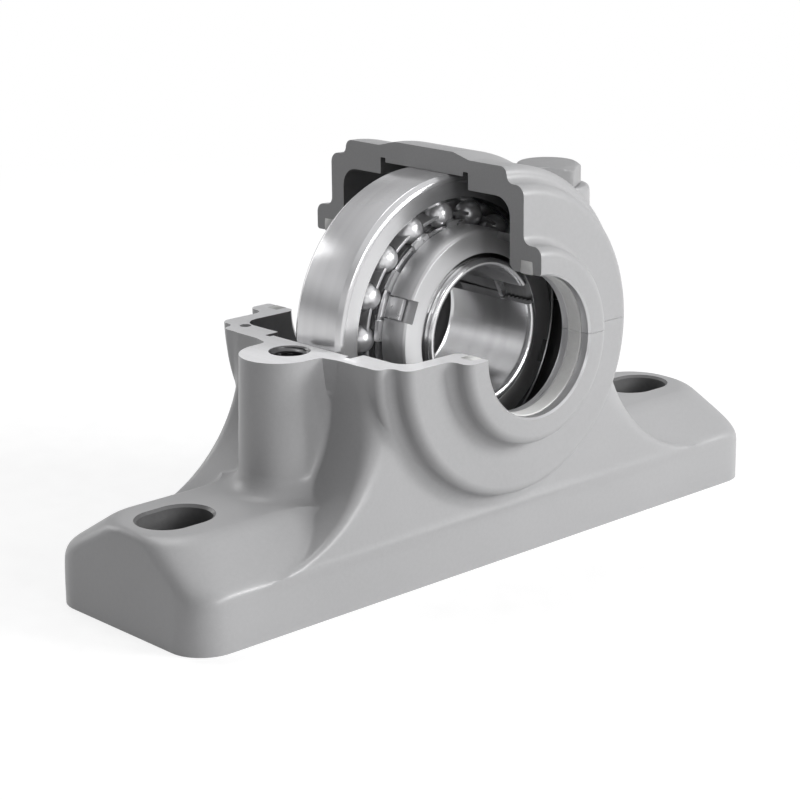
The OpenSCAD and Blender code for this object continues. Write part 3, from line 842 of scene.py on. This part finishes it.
def make_inner_ring():
    """Ring with a groove for each row of balls and a tapered bore."""
    bore, corner = BRG_BORE / 2 + 0.02, 1.0
    taper = BRG_W / TAPER
    half = math.sqrt(POCKET_R ** 2 - (PITCH_R - SHOULDER_R) ** 2)
    rim = [(SHOULDER_R - corner, BRG_FRONT),
           (SHOULDER_R - 0.3 * corner, BRG_FRONT + 0.3 * corner)]
    for row in (-ROW_OFFSET, ROW_OFFSET):
        for y in np.linspace(-half, half, 13):
            rim.append((PITCH_R - math.sqrt(POCKET_R ** 2 - y * y), FLOAT_REST + row + y))
    rim += [(SHOULDER_R - 0.3 * corner, BRG_BACK - 0.3 * corner),
            (SHOULDER_R - corner, BRG_BACK)]
    profile = [(bore, BRG_FRONT), *rim, (bore + taper, BRG_BACK)]
    ring = revolve("inner_ring_piece", profile, 192, 25)
    # The bore gets the dark steel: painted shade
    assign(ring, RING, BORE_PAINTED_SHADE)
    sort_faces(ring, within(bore + taper))
    return ring


def ball_place(side, i):
    """Middle of ball i, counted from 1; the rear row is staggered by half a step."""
    stagger = 0.5 if side > 0 else 0.0
    a = math.radians(BALL_PHASE + (i - 1 + stagger) * 360 / BALL_COUNT)
    return Vector((PITCH_R * math.cos(a), FLOAT_REST + side * ROW_OFFSET,
                   AXIS_H + PITCH_R * math.sin(a)))


def make_balls():
    """Both rows: balls of one mesh, each turned another way so that no two look alike."""
    bm = bmesh.new()
    bmesh.ops.create_uvsphere(bm, u_segments=48, v_segments=32, radius=BALL_R * MM)
    mesh = bpy.data.meshes.new("ball")
    bm.to_mesh(mesh)
    bm.free()
    mesh.polygons.foreach_set("use_smooth", [True] * len(mesh.polygons))
    mesh.materials.append(BALL)
    for where, side in (("front", -1), ("rear", 1)):
        for i in range(1, BALL_COUNT + 1):
            obj = bpy.data.objects.new(f"ball_{where}_{i:02d}_piece", mesh)
            bpy.context.scene.collection.objects.link(obj)
            obj.location = ball_place(side, i) * MM
            obj.rotation_euler = (0.7 * i, 0.3 * i, 0.45 * i)
            settle(obj, "ball_set", f"ball_{where}_{i:02d}")


def make_cage():
    """Pressed sheet cage: bands beside and between the rows, with round pockets."""
    inner, outer = PITCH_R - CAGE_T / 2, PITCH_R + CAGE_T / 2
    half = ROW_OFFSET + 0.785 * BALL_R
    front, back = FLOAT_REST - half, FLOAT_REST + half
    profile = fillet([(inner, front, 0.2), (outer, front, 0.2), (outer, back, 0.2),
                      (inner, back, 0.2)], 3)
    cage = revolve("cage_piece", profile, 256, 30)
    along, reach = Vector((0, 1, 0)), 2.0
    for side in (-1, 1):
        for i in range(1, BALL_COUNT + 1):
            c = ball_place(side, i)
            out = Vector((c.x, 0, c.z - AXIS_H)).normalized()
            tangent = along.cross(out)

            def place(v):
                return tuple(c + out * v[2] + (tangent * v[0] + along * v[1]) * POCKET_R)

            pocket = prism("pocket", circle(0, 0, 1, 40), -reach, reach, place)
            combine(cage, pocket, "DIFFERENCE")
    assign(cage, CAGE)
    shade(cage, 30)
    return cage


# Sleeve, nut and washer

def make_sleeve():
    """Slit sleeve: bore for the shaft, tapered outside, threaded nose."""
    n, depth = 192, 0.75
    front, back, bore = SLEEVE_FRONT, SLEEVE_BACK, SHAFT_D / 2
    tail = BRG_BORE / 2 + (back - BRG_FRONT) / TAPER
    thread_end = BRG_FRONT - 0.1
    angles = np.arange(n) * 2 * np.pi / n
    rings = [(bore, front + 0.9), (bore + 0.25, front + 0.35), (bore + 0.7, front + 0.06),
             (bore + 1.0, front), (THREAD_R - 0.75, front), (THREAD_R - 0.45, front + 0.1),
             (THREAD_R - 0.25, front + 0.3)]
    for y in np.arange(front + 0.45, thread_end - 0.05, THREAD_PITCH / 8):
        phase = (y / THREAD_PITCH - angles / (2 * np.pi)) % 1.0
        tooth = np.clip(1.5 * np.abs(2 * phase - 1) - 0.25, 0, 1)
        rings.append((THREAD_R - depth + depth * tooth, y))
    rings += [(THREAD_R - 0.4, thread_end), (THREAD_R - 0.4, BRG_FRONT),
              (BRG_BORE / 2 - 0.01, BRG_FRONT + 0.3), (tail - 0.6, back - 0.35),
              (tail - 1.0, back), (bore + 1.0, back), (bore + 0.3, back - 0.3),
              (bore, back - 0.9)]
    rings += [(bore, y) for y in np.linspace(back - 2, front + 2, 9)]
    verts = [(ri * math.cos(a), y, AXIS_H + ri * math.sin(a))
             for r, y in rings for a, ri in zip(angles, np.broadcast_to(r, (n,)))]
    sleeve = new_object("adapter_sleeve_piece", verts, bands(n, len(rings), closed=True), 30)
    slit = [(10, front - 2), (30, front - 2), (30, back + 2), (10, back + 2)]
    combine(sleeve, prism("slit", slit, -SLIT_W / 2, SLIT_W / 2, around(SLIT_ANGLE)),
            "DIFFERENCE")
    assign(sleeve, SLEEVE)
    shade(sleeve, 30)
    return sleeve


def make_nut():
    """Locknut: four spanner slots, and rings in its bore for the thread."""
    r, front, back = NUT_D / 2, NUT_FRONT, WASHER_FRONT
    bore, floor = THREAD_R + 0.02, r - NUT_SLOT_D
    profile = fillet([
        (bore, front + 1.3, 0.1), (bore + 1.3, front, 0.15), (r - 0.5, front, 0.2),
        (r, front + 0.5, 0.2), (r, back - 0.4, 0.15), (r - 0.4, back, 0.1), (bore, back, 0),
    ], 4)
    step, tooth = THREAD_PITCH / 2, 0.7
    profile += [(bore + tooth * (k % 2 == 0), y)
                for k, y in enumerate(np.arange(back - step, front + 1.6, -step))]
    nut = revolve("locknut_piece", profile, 256, 28)
    slot = [(floor, front - 1), (r + 2, front - 1), (r + 2, back + 1), (floor, back + 1)]
    for k in range(4):
        cutter = prism("slot", slot, -NUT_SLOT_W / 2, NUT_SLOT_W / 2,
                       around(SLOT_ANGLE + 90 * k))
        combine(nut, cutter, "DIFFERENCE")
    # The bore gets the dark steel: painted shade
    assign(nut, NUT, BORE_PAINTED_SHADE)
    sort_faces(nut, within(bore + 0.75))
    shade(nut, 28)
    return nut


def make_washer():
    """Locking washer: flat tabs, one tab bent into the nut's slot, a tongue in the slit."""
    body_r, bore = NUT_D / 2 - NUT_SLOT_D - 0.3, BRG_BORE / 2 + 0.3
    profile = fillet([(bore, WASHER_FRONT, 0.1), (body_r, WASHER_FRONT, 0.15),
                      (body_r, BRG_FRONT, 0.15), (bore, BRG_FRONT, 0.1)], 2)
    washer = revolve("lockwasher_piece", profile, 192, 30)
    y0, y1 = WASHER_FRONT + 0.01, BRG_FRONT - 0.01
    half = NUT_SLOT_W / 2 - TAB_PLAY
    r = WASHER_D / 2
    turn = math.asin(half / r)
    tab = [(body_r - 1, -half)]
    tab += [(r * math.cos(w), r * math.sin(w)) for w in np.linspace(-turn, turn, 7)]
    tab += [(body_r - 1, half)]
    for k in range(1, TAB_COUNT + 1):
        place = around(SLOT_ANGLE + (k - 0.5) * 360 / TAB_COUNT)
        flat = prism("tab", tab, y0, y1, lambda v: place((v[0], v[2], v[1])))
        combine(washer, flat, "UNION")
    root, floor = body_r - 1.5, NUT_D / 2 - NUT_SLOT_D + TAB_PLAY
    tip = WASHER_FRONT - NUT_W * 0.55
    side = fillet([
        (root, y1, 0), (root, y0, 0), (floor, y0, 0.2), (floor, tip, 0.25),
        (floor + WASHER_T, tip, 0.25), (floor + WASHER_T, y1, 0.9),
    ], 5)
    combine(washer, prism("tab", side, -half, half, around(SLOT_ANGLE)), "UNION")
    low, high, h = SHAFT_D / 2 + 0.3, BRG_BORE / 2 + 1.3, SLIT_W / 2 - TAB_PLAY
    tongue = prism("tongue", [(low, y0), (high, y0), (high, y1), (low, y1)], -h, h,
                   around(SLIT_ANGLE))
    combine(washer, tongue, "UNION")
    assign(washer, WASHER)
    shade(washer, 30)
    return washer


# Pieces

def settle(obj, body, node):
    """A piece in place of a node: the part it hides, and the body it rides on."""
    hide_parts(node)
    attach(obj, body)


settle(make_base(), "housing", "housing_base")
settle(make_cap(), "housing", "housing_cap")
settle(make_bolt(), "housing", "cap_bolt")
for material_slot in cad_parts["dowel_pin"].material_slots:
    material_slot.material = PIN
for where, side in (("front", -1), ("rear", 1)):
    for half in ("lower", "upper"):
        node = f"felt_{where}_{half}"
        settle(make_felt(node + "_piece", side, half == "upper"), "housing", node)
settle(make_outer_ring(), "outer_race", "outer_ring")
settle(make_inner_ring(), "shaft_set", "inner_ring")
make_balls()
settle(make_cage(), "ball_set", "cage")
settle(make_sleeve(), "shaft_set", "adapter_sleeve")
settle(make_nut(), "shaft_set", "locknut")
settle(make_washer(), "shaft_set", "lockwasher")


# Floor, light and camera

FLOOR_HALF = 4.0
SHADOW_NEAR, SHADOW_FAR = 0.20, 0.60
PAPER_TAKEN = 0.26
FILL = [(0.0, 0.13), (0.5, 0.23), (1.0, 0.34)]
BANDS = [(0.0, 0.9), (0.50, 0.80), (0.56, 0.28), (0.66, 0.90), (0.78, 0.36), (0.9, 0.95)]
LIGHT_AIM = (0.0, 0.0, 0.05)

# Camera as fitted to the photograph: degrees, millimetres, and pixels of an 800 wide frame

CAMERA_AZ, CAMERA_EL, CAMERA_ROLL = -42.92, 16.16, -0.57
CAMERA_AIM, CAMERA_DIST = (0, 0, 50), 604.68
CAMERA_FOCAL, CAMERA_OFF_X, CAMERA_OFF_Y = 2266.38, 24.65, -45.25
PHOTO_W, SENSOR_W = 800, 36.0


def make_floor():
    """White paper that keeps the object's shadow and fades to plain white far away."""
    size = FLOOR_HALF
    mesh = bpy.data.meshes.new("floor")
    mesh.from_pydata([(-size, -size, 0), (size, -size, 0), (size, size, 0),
                      (-size, size, 0)], [], [(0, 1, 2, 3)])
    obj = bpy.data.objects.new("floor", mesh)
    bpy.context.scene.collection.objects.link(obj)
    m = Material("floor_paper")
    at = m.place()
    length = m.add("ShaderNodeVectorMath", operation="LENGTH")
    m.chain(length, at)
    near = m.map_range(length.outputs["Value"], 1.0, 0.0, SHADOW_NEAR, SHADOW_FAR)
    grain = m.noise(at, 120, 3, 0.5)
    m.greys(grain, 0.50, 0.53)
    m.put("Roughness", 0.9)
    m.put("Specular IOR Level", 0.0)
    glow = m.fill(m.add("ShaderNodeEmission"), {
        "Strength": m.calc("SUBTRACT", 1.0, m.calc("MULTIPLY", near, PAPER_TAKEN))})
    paper = m.fill(m.add("ShaderNodeBsdfDiffuse"), {
        "Color": m.calc("MULTIPLY", near, m.map_range(grain, 0.38, 0.42))})
    both = m.chain(m.add("ShaderNodeAddShader"), glow, paper)
    m.feed(m.out, m.mix(m.seen(), m.bsdf.outputs[0], both))
    assign(obj, m.mat)


def area_light(name, place, size, power):
    """Lamp of a size in metres, aimed at the object."""
    light = bpy.data.lights.new(name, "AREA")
    light.shape = "RECTANGLE"
    light.size, light.size_y = size
    light.energy = power
    obj = bpy.data.objects.new(name, light)
    bpy.context.scene.collection.objects.link(obj)
    obj.location = place
    obj.rotation_euler = (Vector(place) - Vector(LIGHT_AIM)).to_track_quat("Z", "Y").to_euler()


def make_world():
    """Dim fill, weaker from the left; mirrors see soft bands and the camera plain white."""
    world = bpy.data.worlds.new("studio")
    bpy.context.scene.world = world
    world.use_nodes = True
    sky = Nodes(world.node_tree, "ShaderNodeOutputWorld")
    split = sky.add("ShaderNodeSeparateXYZ")
    sky.chain(split, sky.add("ShaderNodeTexCoord").outputs["Generated"])

    def background(colour):
        return sky.chain(sky.add("ShaderNodeBackground"), colour)

    def along(axis, stops):
        """Greys that change along an axis, from its far negative to its far positive."""
        place = sky.map_range(split.outputs[axis], 0.0, 1.0, -1.0, 1.0)
        return background(sky.ramp(place, [(at, grey(v, 1.01)) for at, v in stops]))

    fill, mirrored_view = along(0, FILL), along(2, BANDS)
    camera_ray = sky.add("ShaderNodeLightPath").outputs["Is Camera Ray"]
    view = sky.mix(camera_ray, mirrored_view, background((1.0, 1.0, 1.0, 1.0)))
    sky.feed(sky.out, sky.mix(sky.seen(), fill, view))


def make_camera():
    az, el, roll = (math.radians(v) for v in (CAMERA_AZ, CAMERA_EL, CAMERA_ROLL))
    back = Vector((math.sin(az) * math.cos(el), -math.cos(az) * math.cos(el), math.sin(el)))
    right = Vector((math.cos(az), math.sin(az), 0))
    up = back.cross(right)
    right, up = (right * math.cos(roll) + up * math.sin(roll),
                 up * math.cos(roll) - right * math.sin(roll))
    pixel = CAMERA_DIST / CAMERA_FOCAL
    eye = (Vector(CAMERA_AIM) + back * CAMERA_DIST - right * (CAMERA_OFF_X * pixel)
           + up * (CAMERA_OFF_Y * pixel))
    data = bpy.data.cameras.new("camera")
    data.sensor_width = SENSOR_W
    data.lens = CAMERA_FOCAL / PHOTO_W * SENSOR_W
    data.clip_end = 20.0
    obj = bpy.data.objects.new("camera", data)
    bpy.context.scene.collection.objects.link(obj)
    place = Matrix((right, up, back)).transposed().to_4x4()
    place.translation = eye * MM
    obj.matrix_world = place
    bpy.context.scene.camera = obj


make_floor()
area_light("key", (0.78, -1.18, 0.62), (0.6, 0.6), 14.5)
area_light("front", (0.05, -1.42, 0.50), (0.5, 0.5), 6)
area_light("side", (-0.85, -1.05, 0.50), (0.5, 0.5), 0.6)
area_light("top", (0.1, 0.5, 1.2), (0.6, 0.4), 3.2)
area_light("back", (-0.35, 1.35, 0.60), (0.7, 0.7), 4)
make_world()
make_camera()

bpy.context.scene.view_settings.view_transform = "Standard"
